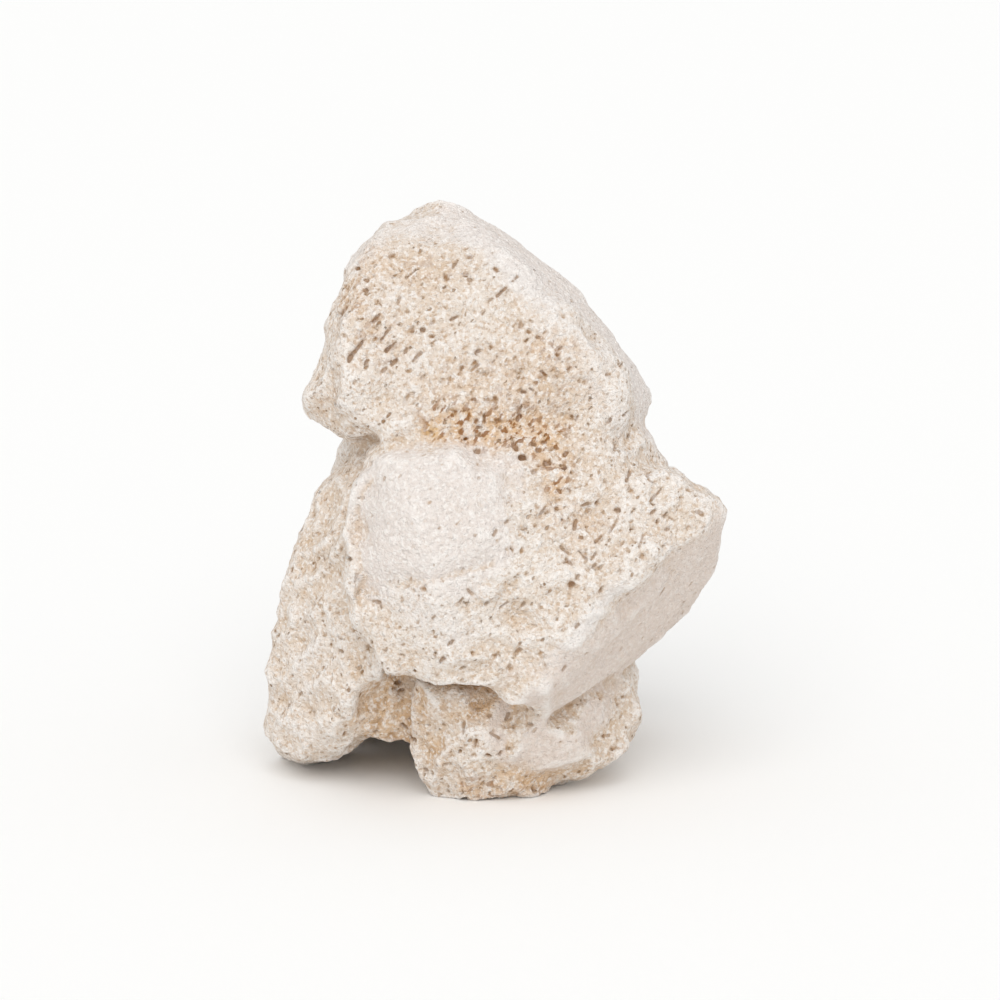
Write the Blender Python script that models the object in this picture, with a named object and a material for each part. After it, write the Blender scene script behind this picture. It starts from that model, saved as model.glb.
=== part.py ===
"""A dry reef rock: one piece of dried reef limestone, standing on the flats of its own underside.

It is one solid. It is blocked out from masses, each the convex hull of a few corners, joined into one
body, weathered, hollowed and pitted, and cut level where it stands.
Frame: +Z up, the front of the rock towards -Y, the origin on the standing plane.
"""

from math import radians

import bmesh
import bpy
from mathutils import Euler, Matrix, Vector, geometry

MM = 0.001

# Driving dimensions, in millimetres
JOIN_GRID = 1.5
WEATHERED_GRID = 1.4
STAND_CUT_DEPTH = 20.0
STAND_CUT_WIDTH = 200.0
DECIMATE_SHARE = 0.142

# Weathering: grain size and relief of each layer, in millimetres
LUMP_SIZE, LUMP_RELIEF = 16.0, 2.8
LEDGE_SIZE, LEDGE_RELIEF = 9.0, 1.6
PIT_SPACING, PIT_DEPTH = 12.0, 1.3
PIT_SHARE_OF_SPACING = 0.36
WORN_PASSES_JOINED = 2
WORN_PASSES_HOLLOWED = 2

# Finish
LIMESTONE_COLOUR = (0.74, 0.66, 0.57, 1.0)
LIMESTONE_ROUGHNESS = 0.92

# Masses, each a list of corners (x, y, z) in millimetres
CROWN = [
    (-5, 8, 138), (1, 9, 135), (9, 5, 130), (20, 2, 122), (28, 0, 115), (31, 0, 109), (38, -2, 102),
    (43, -2, 93), (41, -4, 84), (-22, 6, 130), (-28, 3, 123), (-33, 0, 109), (-34, 0, 98),
    (-5, 0, 134), (1, -5, 130), (7, -8, 129), (13, -12, 124), (20, -16, 117), (25, -18, 110),
    (29, -21, 104), (37, -16, 100), (-25, -7, 129), (-28, -15, 119), (-29, -21, 105), (-30, -22, 94),
    (-22, -24, 88), (-9, -25, 86), (36, -19, 88), (20, -20, 86), (-26, 20, 100), (-6, 30, 104),
    (20, 25, 96), (32, 18, 92), (-14, 21, 122), (6, 20, 121), (-24, 14, 84), (34, 10, 82),
]
CROWN_LIP = [
    (-40, -4, 91), (-38, -12, 94), (-33, -15, 99), (-36, 2, 98), (-37, -3, 87), (-32, -13, 86),
    (-26, -10, 82), (-24, -18, 88), (-26, 6, 84), (-20, 0, 100),
]
BOSS = [
    (-18, -30, 85), (0, -31, 86), (7, -33, 82), (-26, -28, 79), (-29, -29, 66), (-29, -31, 56),
    (-27, -33, 47), (-23, -35, 40), (-18, -36, 34), (-10, -39, 34), (1, -39, 33), (6, -38, 31),
    (-12, -41, 74), (-8, -43, 62), (-6, -43, 50), (4, -40, 66), (10, -38, 58), (12, -36, 44),
    (-20, -8, 84), (4, -8, 84), (-22, -6, 40), (8, -6, 36), (14, -24, 70),
]
WING = [
    (59.5, -20, 70), (60, -16, 63), (55, -22, 74), (46, -22, 79), (38, -24, 80), (24, -26, 74),
    (43, -33, 63), (34, -36.5, 56.5), (28, -38.5, 50), (23.5, -39.5, 43), (18, -39, 33), (13, -38, 27),
    (59, -9, 52), (52, -6, 42), (46, -4, 35), (40, -6, 30), (16, -30, 22), (26, -24, 24),
    (4, -36, 62), (0, -38, 36), (6, -38, 30), (20, 6, 78), (48, 8, 72), (50, 6, 56), (30, 8, 30),
    (0, 0, 40),
]
FLANGE = [
    (-31, -2, 77), (-35, -2, 71), (-39, -5, 59), (-44, -8, 49), (-46, -9, 37), (-47, -9, 24),
    (-50, -1, 12), (-44, -10, 7), (-36, -14, 7), (-29, -16, 10), (-28, -20, 17), (-26, -24, 24),
    (-20, -28, 33), (-24, -26, 48), (-26, -24, 64), (-36, -18, 34), (-35, -18, 19), (-24, -10, 78),
    (-22, 6, 72), (-20, 4, 30), (-42, 16, 10), (-38, 14, 50), (-28, 12, 8), (-44, 14, -2), (-36, 9, -2),
    (-34, 16, -2), (-26, 14, 4), (-46, 8, 3),
]
KEEL = [
    (-14, -22, 11), (-15, -24, 20), (-12, -21, 5), (-4, -20, -2), (4, -23, -2), (13, -21, -2),
    (10, -12, -2), (-2, -12, -1), (-8, -18, 1), (19, -18, 2),
    (19, -25, 8), (28, -20, 8), (34, -16, 7), (38, -14, 11), (41, -8, 19), (37, -1, 32),
    (3, -31, 14), (22, -28, 13), (-4, -29, 26), (-12, -26, 30), (19, -27, 22), (35, 12, 4),
    (24, 8, 3), (0, 8, 6), (-10, 4, 12), (0, 10, 40), (36, 10, 30),
]
WEB = [
    (-34, -13, 36), (-32, -15, 24), (-27, -14, 12), (-20, -16, 10), (-12, -15, 12), (-10, -17, 22),
    (-12, -18, 33), (-20, -20, 36), (-23, -19, 27), (-16, -18, 19), (-28, -17, 33),
    (-34, 4, 34), (-10, 4, 34), (-30, 4, 13), (-10, 4, 13),
]
CORE = [
    (-30, 8, 8), (-24, 28, 6), (-4, 33, 7), (20, 33, 4), (34, 20, 5), (-8, 4, 8), (14, -4, 5),
    (-40, 12, 40), (-32, 32, 48), (-6, 40, 50), (26, 36, 44), (42, 20, 48), (46, 8, 64),
    (-28, 22, 88), (-2, 34, 92), (28, 28, 84), (38, 6, 86), (-24, -6, 84), (0, -14, 84), (30, -10, 84),
    (-24, -10, 50), (20, -16, 40),
]
BACK_SHOULDER = [
    (10, 30, 70), (32, 24, 76), (48, 18, 66), (53, 28, 54), (44, 42, 48), (24, 47, 54), (12, 44, 42),
    (36, 40, 34), (46, 26, 38), (20, 20, 40),
]
BACK_SPUR = [
    (-32, 20, 68), (-40, 26, 50), (-39, 40, 40), (-26, 48, 40), (-8, 48, 56), (-14, 38, 72),
    (-42, 30, 34), (-30, 42, 26), (-16, 20, 40), (-26, 20, 64),
]
BACK_FOOT = [
    (-32, 18, 5), (-42, 28, 1), (-38, 40, 1), (-20, 46, 3), (-6, 34, 6), (-38, 22, 26),
    (-36, 30, -2), (-34, 38, -2), (-25, 41, -2), (-25, 32, -2),
    (-33, 38, 20), (-14, 42, 18), (-18, 20, 34), (-8, 32, 30),
]
BACK_BUTTRESS = [
    (6, 34, 5), (14, 46, 4), (30, 45, 2), (37, 30, 3), (10, 42, 14), (26, 44, 18), (38, 32, 16),
    (19, 40, -2), (28, 41, -2), (33, 33, -2), (24, 30, -2),
    (18, 34, 36), (32, 26, 34), (8, 24, 20),
]
CROWN_BACK = [
    (-20, 20, 116), (-14, 29, 108), (2, 33, 112), (8, 26, 120), (-8, 20, 127), (-26, 20, 98),
    (-14, 36, 92), (12, 38, 96), (18, 28, 106), (30, 20, 95), (30, 24, 84), (-20, 28, 82), (0, 20, 84),
]
SADDLE = [
    (-6, -22, 88), (12, -25, 88), (30, -21, 88), (40, -12, 86), (43, -3, 82), (8, -29, 79), (24, -28, 76),
    (5, -33, 77), (12, -34, 72), (20, -33, 68), (10, -36, 64),
    (40, -24, 76), (46, -14, 74), (46, 0, 74), (0, -10, 70), (30, 0, 70), (-6, -22, 78),
]
MASSES = (
    CROWN, CROWN_LIP, BOSS, WING, SADDLE, FLANGE, KEEL, WEB, CORE,
    BACK_SHOULDER, BACK_SPUR, BACK_FOOT, BACK_BUTTRESS, CROWN_BACK,
)

# Hollows, each (centre, half sizes, turns about x, y and z in degrees)
HOLLOWS = (
    ("stained hollow", (9, -36, 84), (21, 9.5, 5), (22, 17, 0)),
    ("arch", (-21, -14, 2.5), (6.5, 26, 8.5), (0, 12, 12)),
    ("recess over the arch", (-21, -32, 20), (8, 14, 12), (0, 12, 12)),
    ("neck notch", (-37, -10, 79), (7, 14, 3.5), (0, 20, 0)),
    ("keel undercut", (10, -34, 2), (12, 9, 6), (0, -14, 0)),
    ("overhang shade", (32, -19, 25.5), (19, 5, 3), (0, -20, 34)),
    ("boss groove", (-33, -30, 58), (3.5, 7, 16), (0, 0, 0)),
    ("wing undercut", (52, 2, 23), (9, 26, 8), (0, 32, -8)),
    ("back hollow", (2, 52, 74), (15, 14, 8), (0, 15, 0)),
    ("back slot", (-6, 46, 26), (6, 14, 15), (8, 18, 0)),
    ("side pocket", (56, 18, 82), (12, 9, 5), (0, 30, 0)),
    ("underside", (-4, 12, -2), (22, 18, 9), (0, 0, 20)),
    ("left pocket", (-49, 20, 66), (9, 12, 6), (0, 20, 0)),
    ("crown dent", (-38, 12, 112), (8, 9, 7), (0, 0, 0)),
)

# Worn or freshly broken faces, each (start, end, radius of a rounded bar in the rock, relief left there)
SMOOTH_FACES = (
    ("worn boss", (-14, -36, 76), (-6, -40, 54), 16, 0.15),
    ("crown edge break", (6, 0, 132), (38, -8, 92), 9, 0.15),
    ("crown front", (-6, -14, 122), (8, -20, 100), 22, 0.5),
    ("wing break", (57, -10, 56), (28, -26, 28), 11, 0.15),
    ("crown back break", (-12, 30, 108), (12, 34, 106), 11, 0.15),
    ("shoulder break", (30, 44, 52), (48, 30, 58), 11, 0.15),
    ("spur break", (-40, 36, 42), (-22, 48, 48), 10, 0.15),
    ("heel break", (-38, 34, 12), (-24, 44, 10), 9, 0.15),
)


def new_object(name, shape):
    """An object made from a bmesh, in the scene."""
    mesh = bpy.data.meshes.new(name)
    shape.to_mesh(mesh)
    shape.free()
    made = bpy.data.objects.new(name, mesh)
    bpy.context.scene.collection.objects.link(made)
    return made


def add_hull(shape, corners):
    """Adds the convex hull of some corners to a bmesh."""
    points = [shape.verts.new(Vector(corner) * MM) for corner in corners]
    made = bmesh.ops.convex_hull(shape, input=points)
    spare = [item for item in made["geom_interior"] if isinstance(item, bmesh.types.BMVert)]
    bmesh.ops.delete(shape, geom=spare, context="VERTS")


def blocked_rock():
    """The masses as closed hulls that run into each other."""
    shape = bmesh.new()
    for corners in MASSES:
        add_hull(shape, corners)
    bmesh.ops.recalc_face_normals(shape, faces=shape.faces)
    return new_object("reef_rock", shape)


def hollow_cutter():
    """One mesh that holds every hollow as a stretched ball."""
    shape = bmesh.new()
    for _, centre, half_sizes, turns in HOLLOWS:
        turn = Euler([radians(angle) for angle in turns])
        place = Matrix.LocRotScale(Vector(centre) * MM, turn, Vector(half_sizes) * MM)
        bmesh.ops.create_icosphere(shape, subdivisions=3, radius=1.0, matrix=place)
    return hide_cutter(new_object("hollows", shape))


def stand_cutter():
    """A block whose top is the plane that the rock stands on."""
    shape = bmesh.new()
    size = Vector((STAND_CUT_WIDTH, STAND_CUT_WIDTH, STAND_CUT_DEPTH)) * MM
    place = Matrix.LocRotScale(Vector((0, 0, -STAND_CUT_DEPTH / 2)) * MM, None, size)
    bmesh.ops.create_cube(shape, size=1.0, matrix=place)
    return hide_cutter(new_object("stand_block", shape))


def hide_cutter(cutter):
    """Keeps a cutter out of the render."""
    cutter.hide_render = True
    cutter.display_type = "WIRE"
    return cutter


def regrid(rock, name, grid):
    """Joins what overlaps into one skin of even faces."""
    step = rock.modifiers.new(name, "REMESH")
    step.mode = "VOXEL"
    step.voxel_size = grid * MM


def wear(rock, name, passes):
    """Rounds the edges."""
    step = rock.modifiers.new(name, "SMOOTH")
    step.factor = 0.5
    step.iterations = passes


def subtract(rock, name, cutter):
    """Cuts one closed mesh from the rock."""
    step = rock.modifiers.new(name, "BOOLEAN")
    step.operation = "DIFFERENCE"
    step.object = cutter


def fix_skin(rock):
    """Makes the skin that the modifiers give the rock's own mesh."""
    graph = bpy.context.evaluated_depsgraph_get()
    skin = bpy.data.meshes.new_from_object(rock.evaluated_get(graph))
    rock.modifiers.clear()
    rock.data = skin


def relief_share(point):
    """How much of the relief a point (mm) takes: 1 where the rock is pitted, less on its smooth faces."""
    share = 1.0
    for _, start, end, radius, left in SMOOTH_FACES:
        along = geometry.intersect_point_line(point, Vector(start), Vector(end))[1]
        near = Vector(start).lerp(Vector(end), min(max(along, 0.0), 1.0))
        inside = min(max((radius - (point - near).length) / (0.4 * radius), 0.0), 1.0)
        share = min(share, 1.0 - (1.0 - left) * inside * inside * (3.0 - 2.0 * inside))
    return share


def mark_pitted(rock):
    """Marks the skin's pitted part, which takes the relief."""
    group = rock.vertex_groups.new(name="pitted")
    for corner in rock.data.vertices:
        group.add([corner.index], relief_share(corner.co / MM), "REPLACE")


def relief(rock, texture, size, height, middle):
    """Raises and sinks the skin by a texture whose features have a size in millimetres."""
    texture.noise_scale = size * MM
    step = rock.modifiers.new(texture.name, "DISPLACE")
    step.vertex_group = "pitted"
    step.texture = texture
    step.texture_coords = "LOCAL"
    step.mid_level = middle
    step.strength = height * MM


def lump_texture():
    """Broad soft lumps."""
    texture = bpy.data.textures.new("lumps", "CLOUDS")
    texture.noise_depth = 1
    return texture


def ledge_texture():
    """Sharp broken ledges."""
    texture = bpy.data.textures.new("ledges", "MUSGRAVE")
    texture.musgrave_type = "RIDGED_MULTIFRACTAL"
    texture.octaves = 2.0
    return texture


def pit_texture():
    """Sparse round pits: white in each cell's middle and black elsewhere."""
    texture = bpy.data.textures.new("pits", "VORONOI")
    texture.use_color_ramp = True
    ramp = texture.color_ramp.elements
    ramp[0].position, ramp[0].color = 0.0, (1, 1, 1, 1)
    ramp[1].position, ramp[1].color = PIT_SHARE_OF_SPACING, (0, 0, 0, 1)
    return texture


def centre_over_origin(rock, cutters):
    """Moves the rock with its cutters so that its outside measures are centred over the origin."""
    graph = bpy.context.evaluated_depsgraph_get()
    corners = [Vector(corner) for corner in rock.evaluated_get(graph).bound_box]
    low = Vector([min(corner[axis] for corner in corners) for axis in range(3)])
    high = Vector([max(corner[axis] for corner in corners) for axis in range(3)])
    middle = (low + high) / 2
    for item in (rock, *cutters):
        item.location -= Vector((middle.x, middle.y, 0.0))


def limestone():
    """Chalky dried reef limestone."""
    material = bpy.data.materials.new("dry reef limestone")
    material.use_nodes = True
    shader = material.node_tree.nodes["Principled BSDF"]
    shader.inputs["Base Color"].default_value = LIMESTONE_COLOUR
    shader.inputs["Roughness"].default_value = LIMESTONE_ROUGHNESS
    shader.inputs["Metallic"].default_value = 0.0
    return material


def main():
    """Builds the rock."""
    for old in list(bpy.data.objects):
        bpy.data.objects.remove(old)
    rock = blocked_rock()
    regrid(rock, "joined", JOIN_GRID)
    wear(rock, "worn", WORN_PASSES_JOINED)
    hollows = hollow_cutter()
    subtract(rock, "hollowed", hollows)
    regrid(rock, "regridded", WEATHERED_GRID)
    wear(rock, "rims worn", WORN_PASSES_HOLLOWED)
    fix_skin(rock)
    mark_pitted(rock)
    relief(rock, lump_texture(), LUMP_SIZE, LUMP_RELIEF, 0.5)
    relief(rock, ledge_texture(), LEDGE_SIZE, LEDGE_RELIEF, 0.5)
    relief(rock, pit_texture(), PIT_SPACING, -PIT_DEPTH, 0.0)
    thinned = rock.modifiers.new("thinned", "DECIMATE")
    thinned.ratio = DECIMATE_SHARE
    block = stand_cutter()
    subtract(rock, "levelled", block)
    rock.data.materials.append(limestone())
    centre_over_origin(rock, (hollows, block))


main()
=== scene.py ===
"""A dry reef rock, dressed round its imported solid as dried, chalky, porous reef limestone.

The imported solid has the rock's masses and hollows. Here a copy of it gets a finer skin: lumps, crust, pits
and pores as relief, then the colours of dried reef limestone. The rock stands alone on a pale floor.
Measures are in metres, and those whose name ends in _mm are in millimetres. The front faces -Y.
"""

import itertools
import logging
import math
from dataclasses import dataclass
from enum import Enum
from functools import reduce
from typing import Any, NamedTuple

import bpy
import numpy as np
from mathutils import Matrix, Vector


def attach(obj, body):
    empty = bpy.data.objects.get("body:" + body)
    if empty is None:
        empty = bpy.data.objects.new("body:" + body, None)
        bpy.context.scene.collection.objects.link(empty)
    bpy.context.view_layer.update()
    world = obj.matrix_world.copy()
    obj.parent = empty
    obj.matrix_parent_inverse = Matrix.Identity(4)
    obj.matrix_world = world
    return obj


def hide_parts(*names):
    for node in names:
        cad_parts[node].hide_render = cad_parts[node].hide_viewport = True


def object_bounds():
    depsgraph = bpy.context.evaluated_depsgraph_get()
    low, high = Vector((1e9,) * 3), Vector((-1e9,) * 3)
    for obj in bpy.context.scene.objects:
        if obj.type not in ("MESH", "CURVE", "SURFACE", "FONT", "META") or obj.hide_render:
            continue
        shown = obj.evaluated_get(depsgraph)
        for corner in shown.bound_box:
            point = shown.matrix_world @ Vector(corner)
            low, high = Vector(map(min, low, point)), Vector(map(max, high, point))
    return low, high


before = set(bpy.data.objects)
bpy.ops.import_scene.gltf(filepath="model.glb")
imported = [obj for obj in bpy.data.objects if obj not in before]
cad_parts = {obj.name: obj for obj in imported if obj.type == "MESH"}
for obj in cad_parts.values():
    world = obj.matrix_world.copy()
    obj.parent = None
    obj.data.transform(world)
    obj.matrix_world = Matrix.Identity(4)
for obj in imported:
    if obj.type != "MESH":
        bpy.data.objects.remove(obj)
CAD_BOX = [list(corner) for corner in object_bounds()]

MM = 0.001
LOG = logging.getLogger("dry_reef_rock")

# Large odd numbers that mix a cell's place and a seed into the cell's random numbers
CELL_FACTORS = (73856093, 19349663, 83492791)
SEED_FACTOR = 668265263
MIXERS = ((15, 0x2C1B3C6D), (12, 0x297A2D39))
LAST_SHIFT = 15
LOW_BITS = 0xFFFFFFFF
# A vertex with a smaller share than this is left out of its group
LEAST_SHARE = 0.001

# Triangles seen edge-on count as this large, in square millimetres, so that nothing is divided by 0
LEAST_AREA = 1e-12

Point = tuple[float, float, float]
Socket = bpy.types.NodeSocket


class Skin(Enum):
    """What a part of the rock's skin is like."""

    WORN = "worn"
    BLEACHED_AND_HIGHLIT = "bleached_and_highlit"
    BROKEN = "broken"
    ROUGH = "rough"
    STAINED = "stained"
    OCHRE = "ochre"
    # Painted shade and warm bounce light, with some brown stain
    SHADE_AND_STAIN = "shade_and_stain"
    STREAKED = "streaked"
    ROUNDED = "rounded"


def smooth_step(value: np.ndarray) -> np.ndarray:
    """Eases a share from 0 to 1.

    Args:
        value: Any numbers.

    Returns:
        0 below 0, 1 above 1 and a smooth rise between them.
    """
    inside = np.clip(value, 0.0, 1.0)
    return inside * inside * (3.0 - 2.0 * inside)


def scatter(cells: np.ndarray, seed: int) -> np.ndarray:
    """Gives each cell of a grid its own random numbers, the same in every run.

    Args:
        cells: Whole numbers, one cell a row.
        seed: Another seed gives other numbers.

    Returns:
        Four numbers from 0 to 1 for each cell.
    """
    across, deep, up = (cells[:, axis] * factor for axis, factor in enumerate(CELL_FACTORS))
    key = ((across ^ deep ^ up) + seed * SEED_FACTOR) & LOW_BITS
    numbers = []
    for _ in range(4):
        for shift, factor in MIXERS:
            key = ((key ^ (key >> shift)) * factor) & LOW_BITS
        key = key ^ (key >> LAST_SHIFT)
        numbers.append(key / LOW_BITS)
    return np.stack(numbers, axis=1)


def cloud(points_mm: np.ndarray, size_mm: float, seed: int) -> np.ndarray:
    """A soft random pattern in space.

    Args:
        points_mm: Points, one a row.
        size_mm: The pattern's size.
        seed: Another seed gives another pattern.

    Returns:
        Four values from 0 to 1 for each point, mostly near the middle.
    """
    at = points_mm / size_mm
    low = np.floor(at).astype(np.int64)
    part = smooth_step(at - low)
    total = np.zeros((len(at), 4))
    for corner in itertools.product((0, 1), repeat=3):
        weight = np.prod(np.where(corner, part, 1.0 - part), axis=1)
        total += weight[:, None] * scatter(low + corner, seed)
    return total


@dataclass(frozen=True)
class Patch:
    """A part of the skin inside a rounded bar with a ragged edge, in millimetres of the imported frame.

    Where it has a facing, only skin that faces that way is in it.
    """

    skin: Skin
    start: Point
    end: Point
    radius_mm: float
    strength: float = 1.0
    fade: float = 0.45
    ragged_mm: float = 3.0
    facing: Point | None = None
    facing_least: float = 0.46
    facing_fade: float = 0.16
    facing_ragged: float = 0.06

    def share(self, points_mm: np.ndarray, facing: np.ndarray, ragged: np.ndarray) -> np.ndarray:
        """Tells how far points belong to the patch.

        Args:
            points_mm: Points, one a row.
            facing: Which way the skin faces at each point.
            ragged: A random value from -1 to 1 for each point, which frays the patch's edge.

        Returns:
            A share for each point, 0 outside and the patch's strength in its middle.
        """
        start, end = np.array(self.start), np.array(self.end)
        line = end - start
        along = np.clip((points_mm - start) @ line / (line @ line), 0.0, 1.0)
        distance = np.linalg.norm(points_mm - start - along[:, None] * line, axis=1) + ragged * self.ragged_mm
        share = self.strength * smooth_step((self.radius_mm - distance) / (self.fade * self.radius_mm))
        if self.facing:
            turned = facing @ np.array(self.facing) - self.facing_least + self.facing_ragged * ragged
            share = share * smooth_step(turned / self.facing_fade)
        return share


@dataclass(frozen=True)
class Crease:
    """A step along a line seen from the front: the skin left of the line, as it runs, lies lower."""

    line: tuple[tuple[float, float], ...]
    drop_mm: float
    fade_mm: float
    foot_mm: float = 0.9
    level_mm: float = 1.2
    ends: float = 0.15

    def drop(self, points_mm: np.ndarray) -> np.ndarray:
        """Finds how far the skin sinks at points.

        Args:
            points_mm: Points, one a row.

        Returns:
            A distance in millimetres for each point: most close to the line's left, and 0 right of it and at
            its ends.
        """
        nearest, share = np.full(len(points_mm), np.inf), np.zeros(len(points_mm))
        steps = np.diff(np.array(self.line, dtype=float), axis=0)
        lengths = np.hypot(steps[:, 0], steps[:, 1])
        for (x, z), (dx, dz), length, before in zip(self.line, steps, lengths, np.cumsum(lengths) - lengths):
            right, up = points_mm[:, 0] - x, points_mm[:, 2] - z
            along = np.clip((right * dx + up * dz) / length**2, 0.0, 1.0)
            gap = np.hypot(right - along * dx, up - along * dz)
            placed = (before + along * length) / lengths.sum()
            step = smooth_step(gap / self.foot_mm) * (dx * up - dz * right > 0)
            step = step * (1.0 - smooth_step((gap - self.level_mm) / self.fade_mm))
            step = step * smooth_step(placed / self.ends) * smooth_step((1.0 - placed) / self.ends)
            closer = gap < nearest
            nearest[closer], share[closer] = gap[closer], step[closer]
        return self.drop_mm * share


class Mark(NamedTuple):
    """A single pore of the front, picked on the photograph: its middle and length are in its pixels."""

    across_px: float
    down_px: float
    length_px: float
    lean: float
    radius_mm: float
    depth_mm: float


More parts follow.
